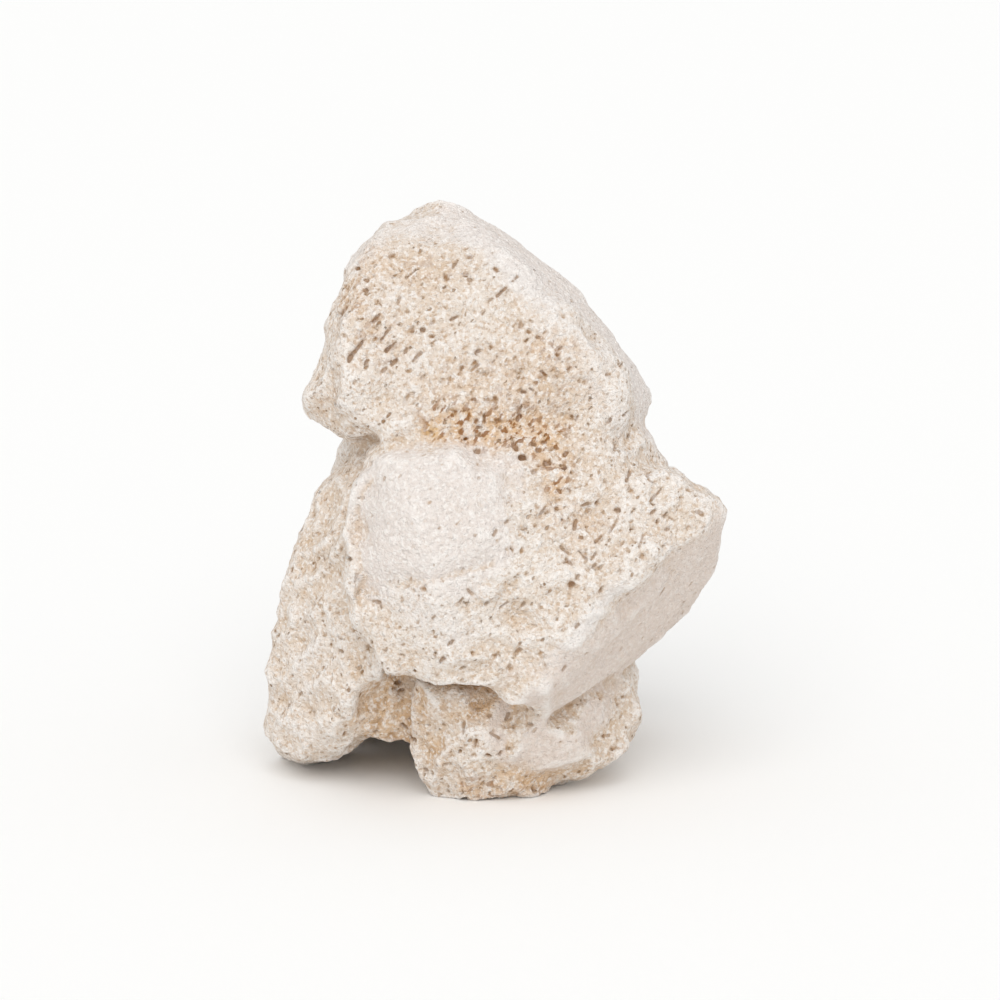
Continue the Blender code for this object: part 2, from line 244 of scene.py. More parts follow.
# Marks in the order of their fields
SINGLE_PORE_MARKS = (
    (410.8, 228.5, 3.0, 60, 0.75, 1.2), (422.7, 231.7, 3.5, 45, 0.7, 1.4), (425.8, 237.2, 5.7, 52, 0.6, 1.4),
    (427.8, 241.5, 4.6, 45, 0.7, 1.8), (415.3, 243.0, 8.0, 50, 0.7, 1.8), (413.2, 246.0, 1.0, 50, 1.1, 1.8),
    (437.0, 245.3, 4.0, 45, 0.6, 1.2), (433.0, 243.0, 1.5, 50, 0.7, 1.3), (428.7, 247.3, 2.5, 45, 0.7, 1.3),
    (419.1, 247.3, 1.5, 50, 0.7, 1.2), (425.5, 249.8, 2.0, 45, 0.6, 1.0), (434.9, 215.6, 4.0, 40, 0.6, 1.3),
    (439.2, 235.7, 0.6, 0, 0.8, 1.8), (435.2, 236.3, 0.6, 0, 0.7, 1.5), (450.1, 231.4, 2.5, 20, 0.75, 1.5),
    (458.8, 243.0, 0.6, 0, 0.8, 1.9), (415.5, 213.6, 1.0, 0, 0.75, 1.2), (415.3, 206.7, 1.0, 0, 0.6, 1.0),
    (418.7, 217.8, 1.0, 0, 0.65, 1.2), (418.4, 221.4, 1.0, 0, 0.7, 1.3), (455.5, 209.6, 1.0, 0, 0.7, 1.3),
    (450.4, 211.8, 3.0, 50, 0.5, 1.2), (453.9, 215.8, 1.0, 0, 0.6, 1.0), (455.5, 217.8, 1.0, 0, 0.7, 1.2),
    (427.6, 209.1, 2.0, 0, 0.6, 1.0), (430.5, 225.2, 2.5, 80, 0.55, 1.0), (423.6, 226.5, 2.0, -50, 0.6, 1.0),
    (433.6, 229.4, 1.0, 0, 0.6, 1.0), (442.3, 233.2, 1.5, 50, 0.6, 1.0), (442.8, 239.9, 2.0, 40, 0.6, 1.1),
    (460.4, 229.6, 1.5, 50, 0.7, 1.2), (466.8, 222.1, 4.0, 38, 0.7, 1.6), (471.5, 217.5, 2.5, 40, 0.55, 1.2),
    (462.5, 225.3, 2.0, 38, 0.5, 1.0), (464.2, 246.5, 3.0, 55, 0.5, 1.2), (457.7, 248.7, 2.0, 45, 0.65, 1.3),
    (473.2, 234.4, 2.5, 70, 0.6, 1.0), (479.8, 238.4, 1.0, 0, 0.7, 1.3), (487.6, 242.2, 1.0, 40, 0.6, 1.2),
    (490.5, 249.2, 1.2, 40, 0.7, 1.4), (481.6, 251.3, 2.5, -50, 0.7, 1.5), (474.4, 257.9, 1.0, 0, 0.75, 1.4),
    (477.3, 256.7, 1.5, -30, 0.7, 1.4), (478.7, 254.5, 1.0, 0, 0.7, 1.2), (472.9, 267.0, 1.5, 50, 0.9, 1.8),
    (473.3, 264.0, 3.0, 65, 0.6, 1.4), (461.5, 260.3, 1.0, 0, 0.8, 1.2), (457.0, 260.3, 1.0, 0, 0.6, 1.2),
    (457.7, 268.1, 1.2, 50, 0.8, 1.6), (460.7, 267.2, 2.5, 90, 0.7, 1.4), (458.8, 270.1, 1.2, 0, 0.7, 1.4),
    (454.6, 273.8, 0.8, 0, 1.0, 2.2), (458.3, 278.2, 1.0, 0, 0.8, 1.7), (471.5, 277.0, 2.0, -50, 0.9, 1.9),
    (474.2, 280.6, 1.0, 0, 0.9, 2.0), (481.8, 275.3, 1.0, 0, 0.7, 1.4), (480.0, 278.2, 1.0, 0, 0.8, 1.6),
    (478.0, 276.2, 1.0, 0, 0.7, 1.4), (489.4, 279.3, 1.2, 45, 0.8, 1.6), (489.0, 284.2, 1.2, 0, 1.2, 2.2),
    (482.9, 282.6, 1.5, 0, 0.8, 1.6), (478.1, 285.8, 1.0, 0, 0.8, 1.6), (510.8, 265.4, 1.2, 30, 0.7, 1.3),
    (504.8, 268.1, 2.0, 55, 0.6, 1.2), (507.0, 277.5, 2.0, 65, 0.6, 1.0), (493.4, 266.8, 1.5, 60, 0.6, 1.1),
    (504.6, 251.2, 1.0, 0, 0.6, 1.0),
    # boss and its edges
    (412.8, 316.6, 0.8, 0, 0.9, 1.6), (415.6, 323.6, 3.0, 70, 0.8, 0.9), (464.6, 307.4, 1.5, 50, 0.7, 1.0),
    (468.6, 303.3, 1.0, 30, 0.7, 1.1), (420.7, 302.1, 1.0, 40, 0.6, 0.9), (442.9, 337.0, 1.6, 45, 0.7, 1.1),
    (422.5, 331.6, 2.6, 0, 0.7, 1.2), (424.4, 333.4, 1.6, 90, 0.6, 1.0), (435.0, 324.0, 1.0, 90, 0.6, 0.8),
    (452.8, 331.0, 1.5, 50, 0.7, 1.1), (462.8, 331.2, 4.2, 38, 0.55, 1.0), (467.6, 332.8, 3.6, 38, 0.55, 1.0),
    (455.8, 327.9, 2.5, -50, 0.6, 0.9), (474.3, 332.6, 1.5, 55, 0.6, 1.0),
    # wing
    (511.7, 286.8, 3.8, 62, 0.6, 1.3), (521.5, 293.8, 6.0, 42, 0.5, 1.2), (520.6, 300.0, 2.2, 45, 0.75, 1.4),
    (507.4, 299.2, 0.8, 0, 0.8, 1.6), (496.0, 297.6, 2.0, 10, 0.7, 1.2), (492.9, 304.4, 2.6, 70, 0.8, 1.4),
    (494.6, 309.0, 1.0, 0, 0.75, 1.4), (500.9, 309.3, 2.6, 45, 0.65, 1.3), (506.0, 305.0, 5.4, 55, 0.5, 1.0),
    (499.3, 315.2, 3.2, 52, 0.55, 1.2), (499.4, 318.8, 1.4, 45, 0.75, 1.4), (495.0, 315.0, 3.6, -40, 0.55, 1.2),
    (489.0, 313.2, 3.4, -38, 0.6, 1.1), (490.4, 317.2, 2.4, -45, 0.55, 1.1), (480.8, 300.0, 4.6, 55, 0.6, 1.2),
    (507.9, 320.5, 1.5, 50, 0.65, 1.1), (493.5, 322.7, 1.0, 60, 0.6, 1.0), (501.8, 327.2, 2.4, 65, 0.5, 0.9),
    (515.9, 310.5, 3.4, 65, 0.55, 0.9), (536.9, 300.4, 2.6, -25, 0.9, 1.0), (526.7, 302.2, 1.5, -30, 0.6, 1.0),
    (525.4, 306.0, 1.2, 0, 0.6, 1.0), (519.2, 285.4, 3.0, 40, 0.55, 1.0), (519.8, 289.2, 3.2, -35, 0.45, 0.9),
    (478.2, 286.0, 1.2, 45, 0.8, 1.4), (487.2, 292.8, 1.6, -50, 0.6, 1.1), (490.4, 292.2, 1.2, -50, 0.6, 1.0),
    (486.4, 337.4, 1.0, 50, 0.6, 1.0), (493.5, 340.0, 1.2, 50, 0.6, 1.0), (478.0, 339.8, 1.2, 0, 0.6, 1.0),
    # lower boss and lower mass
    (449.4, 345.5, 1.2, 45, 0.75, 1.3), (445.7, 352.1, 1.4, 60, 0.8, 1.4), (431.5, 350.4, 1.2, 0, 0.65, 1.0),
    (472.5, 348.8, 1.4, 30, 0.75, 1.2), (469.5, 354.2, 1.2, 60, 0.7, 1.0), (489.0, 355.3, 1.4, 60, 0.7, 1.0),
    (466.4, 363.4, 1.2, 0, 0.8, 1.4), (468.9, 373.2, 2.0, 65, 0.7, 1.2), (477.1, 376.3, 1.0, 0, 0.75, 1.3),
    (462.4, 372.7, 1.0, 0, 0.7, 1.1), (458.4, 370.5, 1.5, 0, 0.6, 1.0), (466.6, 386.6, 1.2, 60, 1.0, 1.8),
    (464.5, 380.0, 4.0, -40, 0.7, 1.2), (453.0, 377.5, 4.0, 80, 0.7, 1.2), (439.4, 393.3, 0.8, 0, 0.7, 1.2),
    (421.2, 380.0, 1.2, 40, 0.9, 1.4), (409.2, 350.2, 1.0, 0, 0.7, 1.1), (419.5, 348.0, 2.5, 10, 0.7, 0.8),
    (429.8, 361.7, 1.0, 0, 1.1, 1.8), (430.8, 364.6, 1.0, 0, 0.9, 1.6), (428.3, 363.8, 1.0, 0, 0.9, 1.4),
    (431.6, 377.8, 1.6, -50, 1.1, 1.8), (434.6, 382.0, 1.2, 0, 1.0, 1.6),
)


@dataclass(frozen=True)
class SinglePores:
    """Pores put one by one on the front: their marks, ragged edge, reach along Y, darkness and wall.

    A pore lies where the line of sight through its mark, which looks slightly down, meets the solid's front.
    The wall begins a little outside a pore's edge. The deeper a pore is, the darker its painted shade.
    """

    marks: tuple[tuple[float, ...], ...] = SINGLE_PORE_MARKS
    pixel_mm: float = 0.65
    middle_px: float = 455.0
    middle_mm: float = -5.3
    foot_px: float = 403.5
    foot_mm: float = 5.3
    foot_y_mm: float = -2.85
    sight_sine: float = 0.242
    sight_cosine: float = 0.97
    sight_rounds: int = 60
    sight_step: float = 0.4
    unseen_y_mm: float = -12.0
    lowest_mm: float = 1.0
    highest_mm: float = 137.0
    decimals: int = 1
    radius_share: float = 0.62
    most_radius_mm: float = 0.5
    depth_share: float = 0.5
    dark_from_mm: float = 2.0
    dark_depth_mm: float = 1.3
    ragged_size_mm: float = 1.3
    ragged_mm: float = 0.4
    seed: int = 31
    search_mm: float = 7.0
    most_turned_away: float = 0.1
    reach_mm: float = 2.0
    darkness: float = 0.28
    darker_per_mm: float = 0.32
    wall_outside_mm: float = 0.2
    wall_mm: float = 0.5

    def place(self, mark: Mark, solid_mm: np.ndarray) -> tuple[float, ...]:
        """Finds where a mark lies on the solid.

        Args:
            mark: A pore's mark.
            solid_mm: The solid's triangles.

        Returns:
            The x, y and z of the pore's middle, in millimetres.
        """
        x = (mark.across_px - self.middle_px) * self.pixel_mm + self.middle_mm
        height = (self.foot_px - mark.down_px) * self.pixel_mm
        y, z = self.unseen_y_mm, height
        for _ in range(self.sight_rounds):
            reach = front(solid_mm, x, min(max(z, self.lowest_mm), self.highest_mm))
            y = self.unseen_y_mm if reach is None else round(reach, self.decimals)
            seen = (height - self.foot_mm - self.sight_sine * (y - self.foot_y_mm)) / self.sight_cosine
            z = z + self.sight_step * (seen - z)
        return round(x, self.decimals), y, round(z, self.decimals)

    def sizes(self, mark: Mark) -> tuple[float, ...]:
        """Finds a pore's length, radius and depth in millimetres."""
        dark = mark.depth_mm >= self.dark_from_mm
        depth = self.dark_depth_mm if dark else round(mark.depth_mm * self.depth_share, self.decimals)
        radius = min(round(mark.radius_mm * self.radius_share, self.decimals + 1), self.most_radius_mm)
        return round(mark.length_px * self.pixel_mm, self.decimals), radius, depth

    def find(
        self, points_mm: np.ndarray, facing: np.ndarray, solid_mm: np.ndarray
    ) -> tuple[np.ndarray, np.ndarray, np.ndarray]:
        """Finds where points are in the single pores.

        Args:
            points_mm: Points, one a row.
            facing: Which way the skin faces at each point.
            solid_mm: The solid's triangles.

        Returns:
            For each point, how far inside the nearest pore's edge it is, that pore's darkness, and a depth,
            the first and the last in millimetres.
        """
        count = len(points_mm)
        edge, dark, depths = np.full(count, -1.0), np.zeros(count), np.zeros(count)
        ragged = (cloud(points_mm, self.ragged_size_mm, self.seed)[:, 0] - 0.5) * self.ragged_mm
        in_front = facing[:, 1] < self.most_turned_away
        for mark in (Mark(*row) for row in self.marks):
            length, radius, depth = self.sizes(mark)
            offset = points_mm - self.place(mark, solid_mm)
            near = np.flatnonzero((np.abs(offset).max(axis=1) < self.search_mm) & in_front)
            axis = np.array([math.cos(math.radians(mark.lean)), 0.0, math.sin(math.radians(mark.lean))])
            along = np.clip(offset[near] @ axis, -0.5 * length, 0.5 * length)
            aside = offset[near] - along[:, None] * axis
            # A pore goes straight in from the front, but doesn't run on along skin that faces sideways
            aside[:, 1] = np.maximum(np.abs(aside[:, 1]) - self.reach_mm, 0.0)
            inside = radius - np.linalg.norm(aside, axis=1) - ragged[near]
            dark[near[inside > edge[near]]] = self.darkness + self.darker_per_mm * depth
            edge[near] = np.maximum(edge[near], inside)
            sunk = depth * smooth_step((inside + self.wall_outside_mm) / self.wall_mm)
            depths[near] = np.maximum(depths[near], sunk)
        return edge, dark, depths


CREASES = (
    # The worn boss's left edge, above the flange
    Crease(
        ((-27, 83.5), (-31, 78), (-33, 72.5), (-33, 65), (-32.5, 60.5), (-31, 56.5), (-32, 52), (-30, 48)),
        drop_mm=2.2,
        fade_mm=8.0,
    ),
    # The worn boss's lower edge
    Crease(((-27, 54), (-20, 55.5), (-12.5, 57.5), (-5.5, 59), (0, 60), (3.5, 63)), 0.8, 5.0),
    # A small knob below it
    Crease(((3, 58), (-2.5, 56.5), (-4, 54), (-1.5, 52.5), (3, 53)), -0.9, 4.0),
)

WING_BREAK_FACING = (0.66, -0.59, -0.46)
CROWN_BREAK_FACING = (0.67, -0.1, 0.73)

PATCHES = (
    # The white worn boss in the middle of the front
    Patch(Skin.WORN, (-19, -36, 74), (-9, -42, 69), 17.0, 1.0, 0.25, 2.5),
    Patch(Skin.WORN, (-8, -31, 79), (-1, -30, 77), 11.5, 1.0, 0.25, 2.0),
    Patch(Skin.WORN, (-29, -31, 76), (-27, -38, 56), 6.0, 1.0, 0.4, 1.0),
    Patch(Skin.ROUNDED, (-9, -32, 80), (0, -33, 73), 11.0, 1.0, 0.6),
    # Bleached rims with a painted highlight along the crown's top and right ridge, and along the wing's ridge
    Patch(Skin.BLEACHED_AND_HIGHLIT, (-32, -6, 124), (-8, -6, 137), 8.0, 0.9, 0.9),
    Patch(Skin.BLEACHED_AND_HIGHLIT, (-8, -6, 137), (9, -14, 123), 8.0, 1.0, 0.9),
    Patch(Skin.BLEACHED_AND_HIGHLIT, (9, -14, 123), (20, -18, 108), 8.0, 1.0, 0.9),
    Patch(Skin.BLEACHED_AND_HIGHLIT, (20, -18, 108), (35, -15, 96), 6.0, 0.9, 0.9),
    # Painted light on the crown's right shoulder, which turns away from the light
    Patch(Skin.BLEACHED_AND_HIGHLIT, (24, -22, 99), (29, -20, 88), 7.0, 0.5, 1.0),
    Patch(Skin.BLEACHED_AND_HIGHLIT, (52, -14, 66), (36, -34, 61), 3.6, 0.9, 0.8, 1.5),
    Patch(Skin.BLEACHED_AND_HIGHLIT, (36, -34, 61), (25, -39, 51), 3.6, 1.0, 0.8, 1.5),
    Patch(Skin.BLEACHED_AND_HIGHLIT, (25, -39, 51), (18, -41, 42), 3.6, 1.0, 0.8, 1.5),
    Patch(Skin.BLEACHED_AND_HIGHLIT, (18, -41, 42), (8, -40, 28), 3.6, 0.9, 0.8, 1.5),
    # Worn lower edge of the boss and left edge of the flange, with a painted highlight
    Patch(Skin.BLEACHED_AND_HIGHLIT, (-22, -39, 56), (-8, -43, 46), 8.0, 0.6, 0.9),
    Patch(Skin.BLEACHED_AND_HIGHLIT, (-42, -18, 40), (-40, -16, 16), 7.0, 0.4, 0.9),
    # Broken faces: the crown's right edge, long worn, the wing's underside, and four at the back
    Patch(Skin.WORN, (-2, 0, 137), (40, -3, 90), 15.0, 1.0, 0.3, 1.5, CROWN_BREAK_FACING),
    Patch(Skin.BROKEN, (58, -12, 60), (14, -32, 24), 20.0, 1.0, 0.3, 1.5, WING_BREAK_FACING),
    Patch(Skin.BROKEN, (-17, 27, 108), (7, 31, 106), 11.0, 1.0, 0.3, 1.5),
    Patch(Skin.BROKEN, (25, 41, 52), (43, 27, 58), 11.0, 1.0, 0.3, 1.5),
    Patch(Skin.BROKEN, (-45, 33, 42), (-27, 45, 48), 10.0, 1.0, 0.3, 1.5),
    Patch(Skin.BROKEN, (-43, 31, 12), (-29, 41, 10), 9.0, 1.0, 0.3, 1.5),
    # The rough lower mass and the hollows under the overhang, round to the back
    Patch(Skin.ROUGH, (-12, -22, 10), (30, -18, 12), 17.0),
    Patch(Skin.ROUGH, (-25, -10, 10), (-22, 12, 22), 14.0),
    Patch(Skin.ROUGH, (30, 30, 14), (-30, 34, 22), 16.0),
    Patch(Skin.ROUGH, (0, 44, 72), (0, 44, 60), 15.0),
    # The brown stain between the crown and the wing, its fringe, and paler tan ones
    Patch(Skin.STAINED, (-9, -27, 91), (14, -28, 88), 9.5, 1.0, 0.8),
    Patch(Skin.STAINED, (8, -28, 86), (15, -30, 78), 6.0, 1.0, 0.9),
    Patch(Skin.STAINED, (-12, -26, 96), (16, -24, 100), 15.0, 0.35, 1.0),
    Patch(Skin.STAINED, (13, -20, 106), (17, -19, 108), 6.0, 0.7, 1.0),
    Patch(Skin.STAINED, (-32, -16, 118), (-25, -20, 106), 10.0, 0.5, 1.0),
    Patch(Skin.STAINED, (-28, -13, 125), (-12, -14, 122), 8.0, 0.3, 1.0),
    Patch(Skin.STAINED, (-40, -18, 92), (-34, -20, 98), 7.0, 0.35, 1.0),
    Patch(Skin.STAINED, (14, -34, 72), (22, -34, 66), 8.0, 0.35, 1.0),
    # Brown low on the lower mass's front, where it turns under to the floor: painted shade with some stain
    Patch(Skin.STAINED, (-6, -28, 4), (10, -27, 2), 7.0, 0.6, 0.9),
    Patch(Skin.STAINED, (2, 46, 72), (-6, 44, 26), 12.0, 0.5, 1.0),
    Patch(Skin.STAINED, (-46, 10, 68), (-44, 20, 60), 10.0, 0.4, 1.0),
    # Painted shade with a painted warm bounce light, and some brown stain: the recess, the arch, below the
    # overhang and low on the front
    Patch(Skin.SHADE_AND_STAIN, (-25, -20, 30), (-24, -18, 10), 10.0, 1.0, 0.4),
    Patch(Skin.SHADE_AND_STAIN, (-24, -14, 4), (-24, 6, 4), 12.0, 1.0, 0.4),
    Patch(Skin.SHADE_AND_STAIN, (-20, -26, 29), (2, -30, 26), 8.0, 1.0, 0.7),
    Patch(Skin.SHADE_AND_STAIN, (-16, -27, 20), (-12, -28, 10), 5.0, 0.8, 0.9),
    Patch(Skin.SHADE_AND_STAIN, (6, -31, 25), (30, -18, 26), 5.0, 0.7, 0.9),
    Patch(Skin.SHADE_AND_STAIN, (4, -30, 6), (22, -22, 4), 6.0, 0.8, 0.9),
    # A small ochre spot left of the stain
    Patch(Skin.OCHRE, (-16, -28, 89), (-13, -28, 89), 2.6, 0.8, 0.9, 1.0),
    # Slanting slit pores on the crown's left and on the wing, and a row of them across the crown
    Patch(Skin.STREAKED, (-34, -13, 114), (-22, -21, 106), 11.0, 0.8, 0.5),
    Patch(Skin.STREAKED, (-34, -14, 100), (-24, -24, 96), 8.0, 0.7, 0.6),
    Patch(Skin.STREAKED, (-7, -18, 112), (7, -13, 122), 1.6, 1.0, 0.6, 0.5),
    Patch(Skin.STREAKED, (22, -28, 68), (40, -27, 66), 11.0, 0.7, 0.6),
    Patch(Skin.STREAKED, (-30, 30, 90), (20, 40, 84), 12.0, 0.8, 0.6),
)


def linear(code: str) -> tuple[float, float, float, float]:
    """Turns an sRGB hex value into Blender's linear colour.

    Args:
        code: Six hex digits after a hash.

    Returns:
        Red, green, blue and alpha.
    """
    shares = [int(code[place : place + 2], 16) / 255.0 for place in (1, 3, 5)]
    # The sRGB standard's curve: straight near black, then a power
    red, green, blue = (s / 12.92 if s <= 0.04045 else ((s + 0.055) / 1.055) ** 2.4 for s in shares)
    return red, green, blue, 1.0


def add_node(
    tree: bpy.types.NodeTree, kind: str, sockets: dict[Any, Any] | None = None, **settings: Any
) -> bpy.types.Node:
    """Adds a node with its settings, values and links.

    Args:
        tree: The material's node tree.
        kind: The node's type.
        sockets: For each input's name or number, a value or the output that feeds it.
        settings: The node's own properties.

    Returns:
        The node.
    """
    node = tree.nodes.new(kind)
    for name, value in settings.items():
        setattr(node, name, value)
    for key, value in (sockets or {}).items():
        if isinstance(value, Socket):
            tree.links.new(value, node.inputs[key])
        else:
            node.inputs[key].default_value = value
    return node


@dataclass(frozen=True)
class Clouds:
    """A cloud pattern: its size, the levels that become 0 and its top value, that value, and its detail."""

    size_mm: float
    low: float
    high: float
    top: float = 1.0
    detail: float = 3.0
    drawn_out: bool = False


@dataclass(frozen=True)
class Coat:
    """A colour laid over those before it: where it goes, how strongly, and in which patterns."""

    colour: str
    places: tuple[str, ...] = ()
    strength: float = 1.0
    patterns: tuple[Clouds, ...] = ()


@dataclass(frozen=True)
class DriedReefLimestone:
    """The finish of reef limestone, dried and whitened by the sun: chalky, matt and cream, with brown in its
    pores.

    The coats are laid over a cream ground, in their order. Some paint light and shade: a painted highlight on
    rims, edges and small lumps, and painted shade in hollows, in pores and below the overhang. The marks are
    the attributes that the rock's mesh has for them.
    """

    chalk_and_highlight: str = "#FAF5F0"
    cream: str = "#EBE1D7"
    warm_cream: str = "#E3D3C3"
    worn_white: str = "#EAE1DB"
    break_pink: str = "#E4D6CC"
    tan: str = "#D8C0A6"
    pore_tan: str = "#BF9A73"
    pore_brown: str = "#835930"
    stain_tan: str = "#DEBC98"
    stain_brown: str = "#93602E"
    ochre: str = "#DDB06C"
    # Colours of the painted shade in the recess and below the overhang, partly brown stain
    shade_and_stain_tan: str = "#E0BF9A"
    shade_and_stain_brown: str = "#A87E52"
    bleached_highlight_white: str = "#ECE6E2"
    roughness: float = 0.93
    specular: float = 0.2
    marks: tuple[str, ...] = (
        "worn", "bleached_and_highlit", "broken", "rough", "stained", "ochre", "shade_and_stain",
        "pore", "deep", "rim", "sunk", "raised", "single", "dark",
    )
    coats: tuple[Coat, ...] = (
        Coat(warm_cream, patterns=(Clouds(22.0, 0.42, 0.64, 0.8),)),
        Coat(tan, patterns=(Clouds(9.0, 0.45, 0.7, 0.7), Clouds(2.4, 0.4, 0.66))),
        # Painted shade: tan in hollows as wide as a finger
        Coat(tan, ("deep",), 0.5),
        Coat(tan, ("rough",), patterns=(Clouds(5.0, 0.4, 0.64, 0.7),)),
        # Worn rims, whitened further by a painted highlight
        Coat(bleached_highlight_white, ("bleached_and_highlit",), 0.8),
        # Painted shade, warm as if lit by bounced light, with brown stain blotches: the recess, the arch and
        # below the overhang
        Coat(shade_and_stain_tan, ("shade_and_stain",), patterns=(Clouds(4.0, 0.3, 0.5, 0.95),)),
        Coat(shade_and_stain_brown, ("shade_and_stain",), patterns=(Clouds(2.8, 0.46, 0.64, 0.6),)),
        Coat(worn_white, ("worn",), 0.85),
        Coat(break_pink, ("broken",), 0.9),
        # Painted highlight on the masses' edges and on small lumps, and painted shade in small hollows
        Coat(chalk_and_highlight, ("rim",), 0.6),
        Coat(chalk_and_highlight, ("raised",), 0.5),
        Coat(tan, ("sunk",), 0.6),
        Coat(stain_tan, ("stained",), patterns=(Clouds(3.2, 0.36, 0.54, 0.95),)),
        # Loose chalk grains, light and dark, about 0.6 mm wide, and few on broken faces
        Coat(chalk_and_highlight, ("unbroken",), patterns=(Clouds(1.0, 0.5, 0.62, 0.7),)),
        Coat(pore_tan, ("open",), patterns=(Clouds(0.9, 0.53, 0.66, 0.5),)),
        Coat(stain_brown, ("stained",), patterns=(Clouds(1.3, 0.54, 0.62, 0.9, 2.0, True),)),
        Coat(ochre, ("ochre",), patterns=(Clouds(1.3, 0.38, 0.6, 0.9),)),
        # Pores are tan at their mouth and brown inside: painted shade deep in the hole, with some brown stain
        Coat(pore_tan, ("pore",), 0.8),
        Coat(pore_brown, ("pore", "pore"), 0.8),
        Coat(pore_tan, ("fine",), 0.75),
        Coat(pore_brown, ("fine", "fine"), 0.55),
        Coat(pore_brown, ("single pore",)),
        Coat(stain_brown, ("single pore", "stained"), 0.7),
    )
    # How much of the dark grains plain skin loses, and of the light ones broken skin
    open_loss: float = 0.8
    unbroken_loss: float = 0.6
    # Fine pores: their spacing, how far and how finely they are pushed about, and the strokes' lean and length
    fine_pore_mm: float = 1.8
    push_mm: float = 0.9
    push_size_mm: float = 1.1
    push_detail: float = 2.0
    stroke_lean: float = math.radians(52.0)
    stroke_length: float = 1.9
    # The radius of a fine pore as a share of the spacing, and of its dark heart as a share of that
    fine_least: float = 0.13
    fine_more: float = 0.18
    fine_heart: float = 0.45
    # The share of places that have a fine pore
    fine_patches: Clouds = Clouds(11.0, 0.34, 0.66, 0.7, 2.0)
    fine_everywhere: float = 0.35
    fine_in_stain: float = 0.5
    fine_loss_on_plain: float = 0.4
    fine_at_least: float = 0.3
    # How dark a fine pore's painted shade is, and how much less so on plain skin
    dark_least: float = 0.3
    dark_more: float = 0.7
    plain_paler: float = 0.45
    # The edge of a single pore, in millimetres inside it
    edge_from_mm: float = -0.06
    edge_to_mm: float = 0.16
    # Relief too fine for the mesh
    bump_mm: float = 0.7
    bump_grain: Clouds = Clouds(0.55, 0.2, 0.8, 0.5, 2.0)
    bump_crust: Clouds = Clouds(1.5, 0.2, 0.8)
    bump_pores: float = 0.6

    def material(self) -> bpy.types.Material:
        """Builds the material from its nodes.

        Returns:
            The material.
        """
        material = bpy.data.materials.new("dried_reef_limestone")
        material.use_nodes = True
        tree = material.node_tree
        shader = tree.nodes["Principled BSDF"]
        # Chalky and matt: light spreads evenly, with hardly a highlight
        shader.inputs["Roughness"].default_value = self.roughness
        shader.inputs["Specular IOR Level"].default_value = self.specular
        where = add_node(tree, "ShaderNodeTexCoord").outputs["Object"]
        masks = {}
        for name in self.marks:
            masks[name] = add_node(tree, "ShaderNodeAttribute", attribute_name=name).outputs["Fac"]
        masks["plain"] = self.joined(tree, "MAXIMUM", masks["worn"], masks["broken"])
        masks["plain"] = self.joined(tree, "MAXIMUM", masks["plain"], masks["bleached_and_highlit"])
        masks["open"] = self.joined(tree, "MULTIPLY_ADD", masks["plain"], -self.open_loss, 1.0)
        masks["unbroken"] = self.joined(tree, "MULTIPLY_ADD", masks["broken"], -self.unbroken_loss, 1.0)
        masks["fine"] = self.fine_pores(tree, where, masks)
        # The single pores have a clear edge: their mark is the distance inside it
        inside = self.ranged(tree, masks["single"], self.edge_from_mm, self.edge_to_mm)
        masks["single pore"] = self.joined(tree, "MULTIPLY", inside, masks["dark"])
        tree.links.new(self.colour(tree, where, masks), shader.inputs["Base Color"])
        tree.links.new(self.bump(tree, where, masks["fine"]), shader.inputs["Normal"])
        return material

    def joined(self, tree: bpy.types.NodeTree, operation: str, *values: Any) -> Socket:
        """Joins numbers and outputs by one kind of sum."""
        return add_node(tree, "ShaderNodeMath", dict(enumerate(values)), operation=operation).outputs["Value"]

    def ranged(
        self, tree: bpy.types.NodeTree, value: Socket, low: Any, high: Any, top: float = 1.0, **settings: Any
    ) -> Socket:
        """Turns the range between two levels, numbers or outputs, into one from 0 to a top value."""
        levels = {"Value": value, "From Min": low, "From Max": high, "To Min": 0.0, "To Max": top}
        return add_node(tree, "ShaderNodeMapRange", levels, **settings).outputs["Result"]

    def clouds(self, tree: bpy.types.NodeTree, where: Socket, pattern: Clouds) -> Socket:
        """Draws a cloud pattern.

        Args:
            tree: The material's node tree.
            where: Object coordinates.
            pattern: The pattern.

        Returns:
            A share from 0 to the pattern's top value.
        """
        at = self.drawn_out(tree, where) if pattern.drawn_out else where
        sockets = {"Vector": at, "Scale": 1.0 / (pattern.size_mm * MM), "Detail": pattern.detail}
        noise = add_node(tree, "ShaderNodeTexNoise", sockets).outputs["Fac"]
        return self.ranged(tree, noise, pattern.low, pattern.high, pattern.top)

    def drawn_out(self, tree: bpy.types.NodeTree, where: Socket) -> Socket:
        """Draws a pattern out into short strokes that rise to the right.

        Args:
            tree: The material's node tree.
            where: The pattern's coordinates.

        Returns:
            The coordinates to use instead.
        """
        settings = {
            "Vector": where,
            "Rotation": (0.0, -self.stroke_lean, 0.0),
            "Scale": (self.stroke_length, 1.0, 1.0),
        }
        return add_node(tree, "ShaderNodeMapping", settings, vector_type="TEXTURE").outputs["Vector"]

    def fine_pores(self, tree: bpy.types.NodeTree, where: Socket, masks: dict[str, Socket]) -> Socket:
        """Lays out the pores too fine for the mesh, about half a millimetre wide, in patches.

        Args:
            tree: The material's node tree.
            where: Object coordinates.
            masks: The rock's own attributes.

        Returns:
            1 inside a pore and 0 outside.
        """
        # Pores are not round: the pattern is pushed about by up to half its spacing
        noise = {"Vector": where, "Scale": 1.0 / (self.push_size_mm * MM), "Detail": self.push_detail}
        push = add_node(tree, "ShaderNodeTexNoise", noise).outputs["Color"]
        shift = {0: push, 1: (self.push_mm * MM,) * 3, 2: where}
        moved = add_node(tree, "ShaderNodeVectorMath", shift, operation="MULTIPLY_ADD").outputs["Vector"]
        spread = {"Vector": self.drawn_out(tree, moved), "Scale": 1.0 / (self.fine_pore_mm * MM)}
        cell = add_node(tree, "ShaderNodeTexVoronoi", spread).outputs
